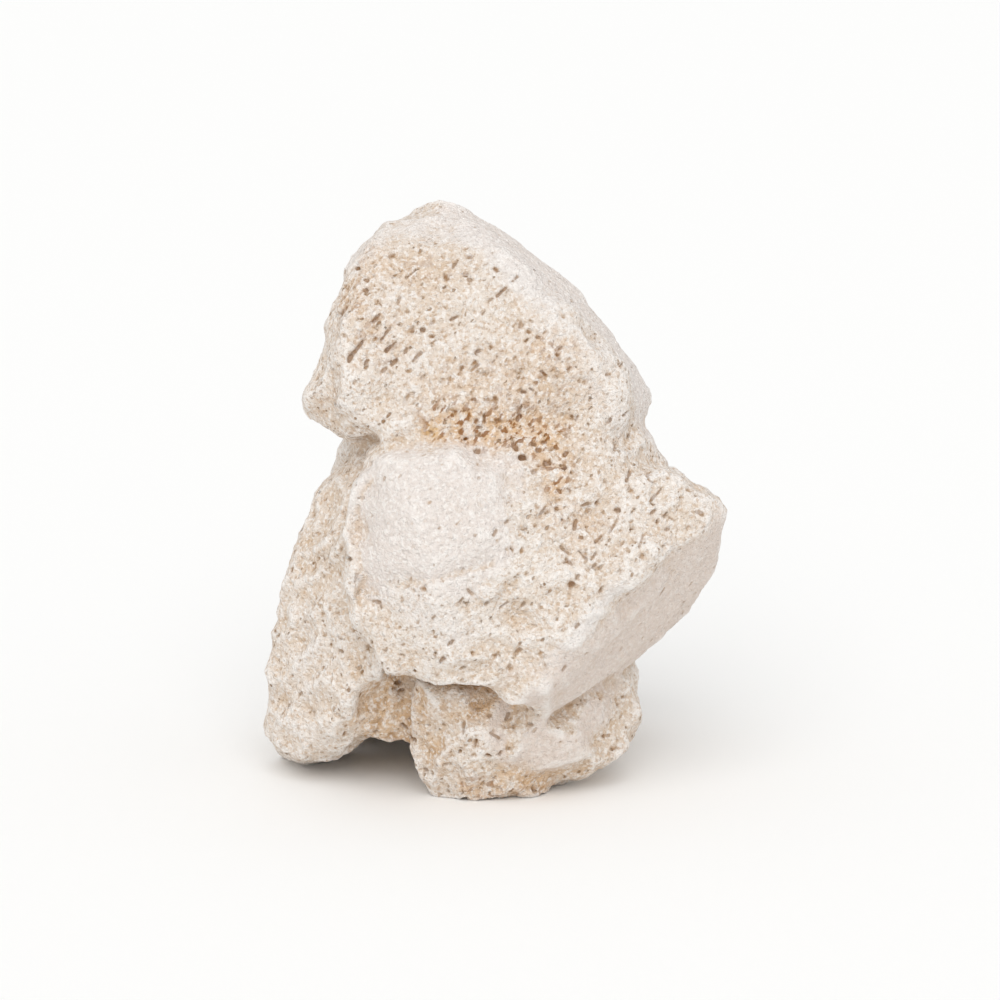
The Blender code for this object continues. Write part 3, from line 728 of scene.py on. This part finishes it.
        # Each cell's own colour gives its pore's chance, size and darkness
        own = add_node(tree, "ShaderNodeSeparateColor", {"Color": cell["Color"]}).outputs
        size = self.joined(tree, "MULTIPLY_ADD", own["Green"], self.fine_more, self.fine_least)
        heart = self.joined(tree, "MULTIPLY", size, self.fine_heart)
        inside = self.ranged(tree, cell["Distance"], size, heart, interpolation_type="SMOOTHSTEP")
        amount = self.clouds(tree, where, self.fine_patches)
        amount = self.joined(tree, "MULTIPLY_ADD", masks["stained"], self.fine_in_stain, amount)
        amount = self.joined(tree, "ADD", amount, self.fine_everywhere)
        amount = self.joined(tree, "MULTIPLY_ADD", masks["plain"], -self.fine_loss_on_plain, amount)
        amount = self.joined(tree, "MAXIMUM", amount, self.fine_at_least)
        chosen = self.joined(tree, "LESS_THAN", own["Red"], amount)
        darkness = self.joined(tree, "MULTIPLY_ADD", own["Blue"], self.dark_more, self.dark_least)
        paler = self.joined(tree, "MULTIPLY_ADD", masks["plain"], -self.plain_paler, 1.0)
        darkness = self.joined(tree, "MULTIPLY", darkness, paler)
        return self.joined(tree, "MULTIPLY", self.joined(tree, "MULTIPLY", inside, chosen), darkness)

    def colour(self, tree: bpy.types.NodeTree, where: Socket, masks: dict[str, Socket]) -> Socket:
        """Lays the coats over the cream ground, in their order.

        Args:
            tree: The material's node tree.
            where: Object coordinates.
            masks: The rock's own attributes, and the shares of pores.

        Returns:
            The colour.
        """
        ground: Any = linear(self.cream)
        for coat in self.coats:
            shares = [masks[name] for name in coat.places]
            shares += [self.clouds(tree, where, pattern) for pattern in coat.patterns]
            share = reduce(lambda first, second: self.joined(tree, "MULTIPLY", first, second), shares)
            if coat.strength < 1.0:
                share = self.joined(tree, "MULTIPLY", share, coat.strength)
            # The mix node's inputs 6 and 7 and output 2 are its colours
            layers = {0: share, 6: ground, 7: linear(coat.colour)}
            ground = add_node(tree, "ShaderNodeMix", layers, data_type="RGBA").outputs[2]
        return ground

    def bump(self, tree: bpy.types.NodeTree, where: Socket, fine: Socket) -> Socket:
        """Gives the relief too fine for the mesh: fine pores and chalk grain.

        Args:
            tree: The material's node tree.
            where: Object coordinates.
            fine: The share of fine pores.

        Returns:
            The bumped normal.
        """
        grain, crust = (self.clouds(tree, where, pattern) for pattern in (self.bump_grain, self.bump_crust))
        height = self.joined(tree, "ADD", grain, crust)
        height = self.joined(tree, "MULTIPLY_ADD", fine, -self.bump_pores, height)
        sockets = {"Height": height, "Distance": self.bump_mm * MM, "Strength": 1.0}
        return add_node(tree, "ShaderNodeBump", sockets).outputs["Normal"]


@dataclass(frozen=True)
class PaleCard:
    """The finish of the floor: a sheet of white studio card."""

    white: str = "#F9F9F8"
    roughness: float = 0.9
    specular: float = 0.1

    def material(self) -> bpy.types.Material:
        """Builds the material.

        Returns:
            The material.
        """
        material = bpy.data.materials.new("white_card")
        material.use_nodes = True
        shader = material.node_tree.nodes["Principled BSDF"]
        shader.inputs["Base Color"].default_value = linear(self.white)
        shader.inputs["Roughness"].default_value = self.roughness
        shader.inputs["Specular IOR Level"].default_value = self.specular
        return material


@dataclass(frozen=True)
class Relief:
    """One layer of soft relief: its texture and size, how far it moves the skin, and the group it moves."""

    name: str
    texture: str
    size_mm: float
    height_mm: float
    group: str


@dataclass(frozen=True)
class Spread:
    """A cloud pattern that makes pores many here and few there: its size, seed, lowest level and rise."""

    size_mm: float
    seed: int
    level: float
    rise: float

    def share(self, points_mm: np.ndarray) -> np.ndarray:
        """Tells how far each point lies where pores are many."""
        return smooth_step((cloud(points_mm, self.size_mm, self.seed)[:, 0] - self.level) / self.rise)


@dataclass(frozen=True)
class Standing:
    """What counts as standing out.

    The passes set how wide the surroundings are. The share grows from one height on, over another.
    """

    passes: int
    from_mm: float
    over_mm: float

    def share(self, height_mm: np.ndarray) -> np.ndarray:
        """Turns each vertex's height above its surroundings into a share."""
        return smooth_step((height_mm - self.from_mm) / self.over_mm)


@dataclass(frozen=True)
class Pores:
    """One layer of scattered pores.

    The reach is the widest radius as a share of the spacing, and the mark how strongly pores are coloured.
    The chance is the share of places that have a pore on any skin. More adds to it by kind of skin, and plain
    skin loses a share of it. The values from warp_size on are shares that all layers have alike.
    """

    name: str
    spacing_mm: float
    reach: float
    depth_mm: float
    seed: int
    stretch: float
    warp_mm: float
    mark: float
    chance: float
    more: tuple[tuple[str, float], ...]
    plain_loss: float = 1.0
    warp_size: float = 1.7
    least_size: float = 0.5
    least_depth: float = 0.4
    wall: float = 0.6
    cell_margin: float = 0.15
    reshuffle: float = 7.0

    def chances(self, skins: dict[str, np.ndarray]) -> np.ndarray:
        """Works out how many pores there are on each kind of skin.

        Args:
            skins: For each kind of skin, a share for each point.

        Returns:
            The share of places that have a pore, for each point.
        """
        total = np.full(len(skins["plain"]), self.chance)
        for skin, more in self.more:
            total = total + more * skins[skin]
        return total * (1.0 - self.plain_loss * skins["plain"])

    def depth(self, points_mm: np.ndarray, chance: np.ndarray, lean: float) -> np.ndarray:
        """Finds how deep in a pore points are.

        Args:
            points_mm: Points, one a row.
            chance: The share of places that have a pore, for each point.
            lean: The angle at which stretched pores rise to the right, in radians.

        Returns:
            A share for each point, 0 outside pores and up to 1 in their middle.
        """
        warp = cloud(points_mm, self.warp_size * self.warp_mm, self.seed)[:, :3] - 0.5
        at = points_mm + warp * 2.0 * self.warp_mm
        axis = np.array([math.cos(lean), 0.0, math.sin(lean)])
        at = at - np.outer(at @ axis, axis) * (1.0 - 1.0 / self.stretch)
        at = at / self.spacing_mm
        base = np.floor(at).astype(np.int64)
        deepest = np.zeros(len(at))
        room = 1.0 - 2.0 * self.cell_margin
        for step in itertools.product((-1, 0, 1), repeat=3):
            cell = base + step
            numbers = scatter(cell, self.seed)
            size = self.reach * (self.least_size + (1.0 - self.least_size) * numbers[:, 3])
            distance = np.linalg.norm(at - cell - self.cell_margin - room * numbers[:, :3], axis=1)
            has_pore = (numbers[:, 3] * self.reshuffle) % 1.0 < chance
            share = smooth_step((size - distance) / (self.wall * size)) * has_pore
            share = share * (self.least_depth + (1.0 - self.least_depth) * size / self.reach)
            deepest = np.maximum(deepest, share)
        return deepest


@dataclass
class ReefRock:
    """The rock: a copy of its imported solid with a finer, weathered skin."""

    node: str = "reef_rock"
    name: str = "dry_reef_rock"
    slot: str = "reef_limestone"
    weld_mm: float = 0.01
    grid_mm: float = 0.48
    smooth_factor: float = 0.5
    soften_passes: int = 14
    worn_passes: int = 45
    rounded_passes: int = 160
    pitted_loss: float = 0.75
    most_triangles: int = 196_000
    # The pattern that frays the patches' edges
    ragged_size_mm: float = 4.5
    ragged_seed: int = 3
    # Hollows as wide as a finger, the edges of the masses, and the finished skin's lumps, which the finish
    # paints with shade and highlight
    deep: Standing = Standing(140, 0.0, 1.3)
    rim: Standing = Standing(40, 0.12, 0.35)
    lumps: Standing = Standing(10, 0.05, 0.3)
    # Creases: how far the skin may turn from the front, and how far back it may lie
    crease_facing: float = 0.1
    crease_facing_fade: float = 0.4
    crease_reach_mm: float = -20.0
    slit_lean: float = math.radians(50.0)
    patchy: Spread = Spread(9.0, 21, 0.25, 0.4)
    sparse: Spread = Spread(17.0, 22, 0.5, 0.25)
    single_pores: SinglePores = SinglePores()
    finish: DriedReefLimestone = DriedReefLimestone()
    reliefs: tuple[Relief, ...] = (
        Relief("mounds", "CLOUDS", 7.0, 0.5, "pitted"),
        Relief("knobs", "CLOUDS", 4.0, 1.8, "rough"),
        Relief("crust", "STUCCI", 1.8, 0.4, "pitted"),
        Relief("grain", "CLOUDS", 1.2, 0.4, "all"),
    )
    pores: tuple[Pores, ...] = (
        Pores("holes", 6.0, 0.23, 1.8, 11, 1.0, 1.4, 1.0, 0.01, (("sparse", 0.1), ("rough", 0.25))),
        Pores("pits", 2.3, 0.36, 0.8, 12, 1.6, 0.8, 0.9, 0.04, (("patchy", 0.3), ("stained", 0.35)), 0.95),
        Pores("pinholes", 1.7, 0.4, 0.5, 14, 1.6, 0.5, 0.6, 0.2, (("patchy", 0.4), ("stained", 0.4)), 0.8),
        Pores("slits", 1.8, 0.34, 0.9, 13, 3.2, 0.5, 0.7, 0.0, (("streaked", 0.5),)),
    )

    def build(self) -> bpy.types.Object:
        """Makes the rock and attaches it to the root body.

        Returns:
            The rock.
        """
        piece = self.copy_of_solid()
        solid_mm = triangles(piece) / MM
        self.refine(piece)
        self.mark_skins(piece)
        self.smooth(piece, self.rounded_passes, "rounded")
        self.smooth(piece, self.worn_passes, "plain")
        self.crease(piece)
        for layer in self.reliefs:
            self.weather(piece, layer)
        self.pierce(piece, solid_mm)
        self.thin(piece)
        self.settle(piece)
        self.mark_relief(piece)
        piece.data.materials.clear()
        piece.data.materials.append(self.finish.material())
        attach(piece, "root")
        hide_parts(self.node)
        LOG.info("%s: %d triangles", piece.name, len(piece.data.polygons))
        return piece

    def copy_of_solid(self) -> bpy.types.Object:
        """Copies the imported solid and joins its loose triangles.

        Returns:
            The copy, alone selected.
        """
        bpy.ops.object.select_all(action="DESELECT")
        piece = bpy.data.objects.new(self.name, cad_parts[self.node].data.copy())
        bpy.context.scene.collection.objects.link(piece)
        piece.select_set(True)
        bpy.context.view_layer.objects.active = piece
        bpy.ops.object.mode_set(mode="EDIT")
        bpy.ops.mesh.select_all(action="SELECT")
        bpy.ops.mesh.remove_doubles(threshold=self.weld_mm * MM)
        bpy.ops.object.mode_set(mode="OBJECT")
        return piece

    def apply(self, piece: bpy.types.Object, kind: str, name: str, **settings: Any) -> None:
        """Adds a modifier and applies it.

        Args:
            piece: The rock.
            kind: The modifier's type.
            name: Its name.
            settings: Its properties.
        """
        step = piece.modifiers.new(name, kind)
        for key, value in settings.items():
            setattr(step, key, value)
        bpy.ops.object.modifier_apply(modifier=name)

    def smooth(self, piece: bpy.types.Object, passes: int, group: str = "") -> None:
        """Smooths one group of the rock's vertices, or all of them, by a number of passes."""
        settings = {"factor": self.smooth_factor, "iterations": passes, "vertex_group": group}
        self.apply(piece, "SMOOTH", "smoothed", **settings)

    def refine(self, piece: bpy.types.Object) -> None:
        """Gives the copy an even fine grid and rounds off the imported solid's facets."""
        self.apply(piece, "REMESH", "fine grid", mode="VOXEL", voxel_size=self.grid_mm * MM)
        self.smooth(piece, self.soften_passes)

    def mark_skins(self, piece: bpy.types.Object) -> None:
        """Stores, before the fine relief, which skin each vertex has and where the edges and hollows are.

        Args:
            piece: The rock.
        """
        points, facing = positions(piece) / MM, normals(piece)
        ragged = (cloud(points, self.ragged_size_mm, self.ragged_seed)[:, 0] - 0.5) * 2.0
        shares = {skin.value: np.zeros(len(points)) for skin in Skin}
        for patch in PATCHES:
            share = patch.share(points, facing, ragged)
            shares[patch.skin.value] = np.maximum(shares[patch.skin.value], share)
        shares["deep"] = self.deep.share(-self.stands_out(piece, self.deep.passes))
        shares["rim"] = self.rim.share(self.stands_out(piece, self.rim.passes))
        for name, share in shares.items():
            store(piece, name, share)
        plain = np.maximum(shares["worn"], shares["broken"])
        self.add_group(piece, "all", np.ones(len(points)))
        self.add_group(piece, "plain", plain)
        self.add_group(piece, "rounded", shares["rounded"])
        self.add_group(piece, "pitted", 1.0 - self.pitted_loss * plain)
        self.add_group(piece, "rough", (1.0 - plain) * shares["rough"])

    def stands_out(self, piece: bpy.types.Object, passes: int) -> np.ndarray:
        """Tells how many millimetres each vertex stands above its surroundings, as wide as the passes."""
        points = positions(piece)
        return ((points - blurred(piece, passes)) * normals(piece)).sum(axis=1) / MM

    def add_group(self, piece: bpy.types.Object, name: str, shares: np.ndarray) -> None:
        """Stores a share for each vertex as a vertex group.

        Args:
            piece: The rock.
            name: The group's name.
            shares: One share a vertex.
        """
        group = piece.vertex_groups.new(name=name)
        for index, share in enumerate(shares.tolist()):
            if share > LEAST_SHARE:
                group.add((index,), share, "REPLACE")

    def crease(self, piece: bpy.types.Object) -> None:
        """Sinks the skin beside the front's creases.

        Args:
            piece: The rock.
        """
        points, facing = positions(piece), normals(piece)
        # Only skin that faces the front, and lies in front of the wall behind the boss
        seen = smooth_step((-facing[:, 1] - self.crease_facing) / self.crease_facing_fade)
        seen = seen * (points[:, 1] < self.crease_reach_mm * MM)
        for crease in CREASES:
            points = points - facing * (crease.drop(points / MM) * seen)[:, None] * MM
        move_to(piece, points)

    def weather(self, piece: bpy.types.Object, layer: Relief) -> None:
        """Moves the skin by one layer of soft relief.

        Args:
            piece: The rock.
            layer: The layer.
        """
        texture = bpy.data.textures.new(layer.name, layer.texture)
        texture.noise_scale = layer.size_mm * MM
        self.apply(
            piece,
            "DISPLACE",
            layer.name,
            texture=texture,
            texture_coords="LOCAL",
            strength=layer.height_mm * MM,
            mid_level=0.5,
            vertex_group=layer.group,
        )

    def pierce(self, piece: bpy.types.Object, solid_mm: np.ndarray) -> None:
        """Sinks the pores into the skin and stores where they are.

        Args:
            piece: The rock.
            solid_mm: The solid's triangles.
        """
        points, facing = positions(piece), normals(piece)
        at = points / MM
        skins = {name: stored(piece, name) for name in ("rough", "stained", "streaked")}
        skins["plain"] = reduce(np.maximum, (stored(piece, name) for name in ("worn", "broken", "bleached_and_highlit")))
        skins["patchy"], skins["sparse"] = self.patchy.share(at), self.sparse.share(at)
        total, marked = np.zeros(len(at)), np.zeros(len(at))
        for layer in self.pores:
            depth = layer.depth(at, layer.chances(skins), self.slit_lean)
            total = np.maximum(total, depth * layer.depth_mm)
            marked = np.maximum(marked, depth * layer.mark)
        edge, dark, deepest = self.single_pores.find(at, facing, solid_mm)
        total = np.maximum(total, deepest)
        move_to(piece, points - facing * total[:, None] * MM)
        for name, share in (("pore", marked), ("single", edge), ("dark", dark)):
            store(piece, name, share)

    def thin(self, piece: bpy.types.Object) -> None:
        """Takes triangles out where the skin is plain, down to the most that a piece may have.

        Args:
            piece: The rock.
        """
        self.apply(piece, "TRIANGULATE", "triangles")
        share = min(1.0, self.most_triangles / len(piece.data.polygons))
        self.apply(piece, "DECIMATE", "thinned", ratio=share)

    def settle(self, piece: bpy.types.Object) -> None:
        """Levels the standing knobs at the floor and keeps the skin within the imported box."""
        move_to(piece, np.clip(positions(piece), np.array(CAD_BOX[0]), np.array(CAD_BOX[1])))
        piece.data.shade_smooth()

    def mark_relief(self, piece: bpy.types.Object) -> None:
        """Stores where the finished skin's small lumps and hollows are, for the painted highlight and shade.

        Args:
            piece: The rock.
        """
        height = self.stands_out(piece, self.lumps.passes)
        store(piece, "raised", self.lumps.share(height))
        store(piece, "sunk", self.lumps.share(-height))
        piece.vertex_groups.clear()


def positions(piece: bpy.types.Object) -> np.ndarray:
    """Reads a mesh's vertices.

    Args:
        piece: A mesh object.

    Returns:
        Their places in metres, one a row.
    """
    flat = np.empty(len(piece.data.vertices) * 3)
    piece.data.vertices.foreach_get("co", flat)
    return flat.reshape(-1, 3)


def triangles(piece: bpy.types.Object) -> np.ndarray:
    """Reads a mesh's triangles.

    Args:
        piece: A mesh object.

    Returns:
        Their corners in metres, three for each triangle.
    """
    piece.data.calc_loop_triangles()
    corners = np.empty(len(piece.data.loop_triangles) * 3, dtype=np.int32)
    piece.data.loop_triangles.foreach_get("vertices", corners)
    return positions(piece)[corners].reshape(-1, 3, 3)


def front(solid_mm: np.ndarray, x: float, z: float) -> float | None:
    """Finds how far forward a solid reaches at a place seen from the front.

    Args:
        solid_mm: The solid's triangles.
        x: The place across.
        z: The place up.

    Returns:
        The least y there, or None beside the solid.
    """
    (ax, ay, az), (bx, by, bz), (cx, cy, cz) = solid_mm.transpose(1, 2, 0)
    area = (bz - cz) * (ax - cx) + (cx - bx) * (az - cz)
    area = np.where(np.abs(area) < LEAST_AREA, LEAST_AREA, area)
    first = ((bz - cz) * (x - cx) + (cx - bx) * (z - cz)) / area
    second = ((cz - az) * (x - cx) + (ax - cx) * (z - cz)) / area
    third = 1.0 - first - second
    hit = (first >= 0.0) & (second >= 0.0) & (third >= 0.0)
    return float((first * ay + second * by + third * cy)[hit].min()) if hit.any() else None


def normals(piece: bpy.types.Object) -> np.ndarray:
    """Reads which way a mesh's vertices face.

    Args:
        piece: A mesh object.

    Returns:
        Their normals, one a row.
    """
    flat = np.empty(len(piece.data.vertices) * 3)
    piece.data.vertex_normals.foreach_get("vector", flat)
    return flat.reshape(-1, 3)


def move_to(piece: bpy.types.Object, points: np.ndarray) -> None:
    """Moves a mesh's vertices.

    Args:
        piece: A mesh object.
        points: Their new places in metres, one a row.
    """
    piece.data.vertices.foreach_set("co", points.ravel())
    piece.data.update()


def store(piece: bpy.types.Object, name: str, shares: np.ndarray) -> None:
    """Stores a share for each vertex, which the finish and later steps read.

    Args:
        piece: A mesh object.
        name: What the share is of.
        shares: One share a vertex.
    """
    held = piece.data.attributes.new(name, "FLOAT", "POINT")
    held.data.foreach_set("value", shares.astype(np.float32))


def stored(piece: bpy.types.Object, name: str) -> np.ndarray:
    """Reads stored shares.

    Args:
        piece: A mesh object.
        name: What the share is of.

    Returns:
        One share a vertex.
    """
    shares = np.empty(len(piece.data.vertices), dtype=np.float32)
    piece.data.attributes[name].data.foreach_get("value", shares)
    return shares.astype(float)


def blurred(piece: bpy.types.Object, passes: int) -> np.ndarray:
    """Relaxes a mesh's vertices towards their neighbours, leaving the mesh as it is.

    Args:
        piece: A mesh object.
        passes: How often.

    Returns:
        The relaxed places in metres, one a row.
    """
    mesh = piece.data
    pairs = np.empty(len(mesh.edges) * 2, dtype=np.int64)
    mesh.edges.foreach_get("vertices", pairs)
    first, second = pairs[0::2], pairs[1::2]
    relaxed = positions(piece)
    count = len(relaxed)
    neighbours = np.bincount(first, minlength=count) + np.bincount(second, minlength=count)
    for _ in range(passes):
        for axis in range(3):
            line = relaxed[:, axis]
            total = np.bincount(first, line[second], count) + np.bincount(second, line[first], count)
            relaxed[:, axis] = 0.5 * line + 0.5 * total / neighbours
    return relaxed


@dataclass
class Studio:
    """A plain pale floor, plain soft light and the camera at the photograph's angle, angles in degrees."""

    floor_radius: float = 12.0
    floor_corners: int = 96
    sky_strength: float = 0.74
    key_strength: float = 1.3
    key_spread: float = 50.0
    key_tilt: float = 42.0
    key_turn: float = -6.0
    lens: float = 152.0
    elevation: float = 14.0
    distance: float = 1.0
    look_at: Point = (0.002, 0.0, 0.066)
    card: PaleCard = PaleCard()

    def build(self) -> None:
        """Sets up the floor, the light and the camera."""
        self.lay_floor()
        self.light()
        self.aim_camera()

    def lay_floor(self) -> None:
        """Lays the floor."""
        bpy.ops.object.select_all(action="DESELECT")
        bpy.ops.mesh.primitive_circle_add(
            vertices=self.floor_corners, radius=self.floor_radius, fill_type="NGON"
        )
        floor = bpy.context.object
        floor.name = "floor"
        floor.data.materials.append(self.card.material())

    def light(self) -> None:
        """Lights the rock: an even white surround, and a wide soft key from above the camera."""
        world = bpy.data.worlds.new("soft_white")
        bpy.context.scene.world = world
        world.use_nodes = True
        back = world.node_tree.nodes["Background"]
        back.inputs["Color"].default_value = (1.0, 1.0, 1.0, 1.0)
        back.inputs["Strength"].default_value = self.sky_strength
        rotation = (math.radians(self.key_tilt), 0.0, math.radians(self.key_turn))
        bpy.ops.object.light_add(type="SUN", rotation=rotation)
        key = bpy.context.object
        key.name = "key"
        key.data.energy = self.key_strength
        key.data.angle = math.radians(self.key_spread)

    def aim_camera(self) -> None:
        """Aims the camera at the rock's front from the photograph's height."""
        tilt = math.radians(self.elevation)
        back = Vector((0.0, -math.cos(tilt), math.sin(tilt)))
        bpy.ops.object.camera_add(location=Vector(self.look_at) + back * self.distance)
        camera = bpy.context.object
        camera.name = "camera"
        camera.rotation_mode = "QUATERNION"
        camera.rotation_quaternion = (-back).to_track_quat("-Z", "Y")
        camera.data.lens = self.lens
        bpy.context.scene.camera = camera
        bpy.context.scene.view_settings.view_transform = "Standard"


def main() -> None:
    """Builds the rock and the studio."""
    logging.basicConfig(level=logging.INFO, format="%(message)s")
    ReefRock().build()
    Studio().build()


if __name__ == "__main__":
    main()
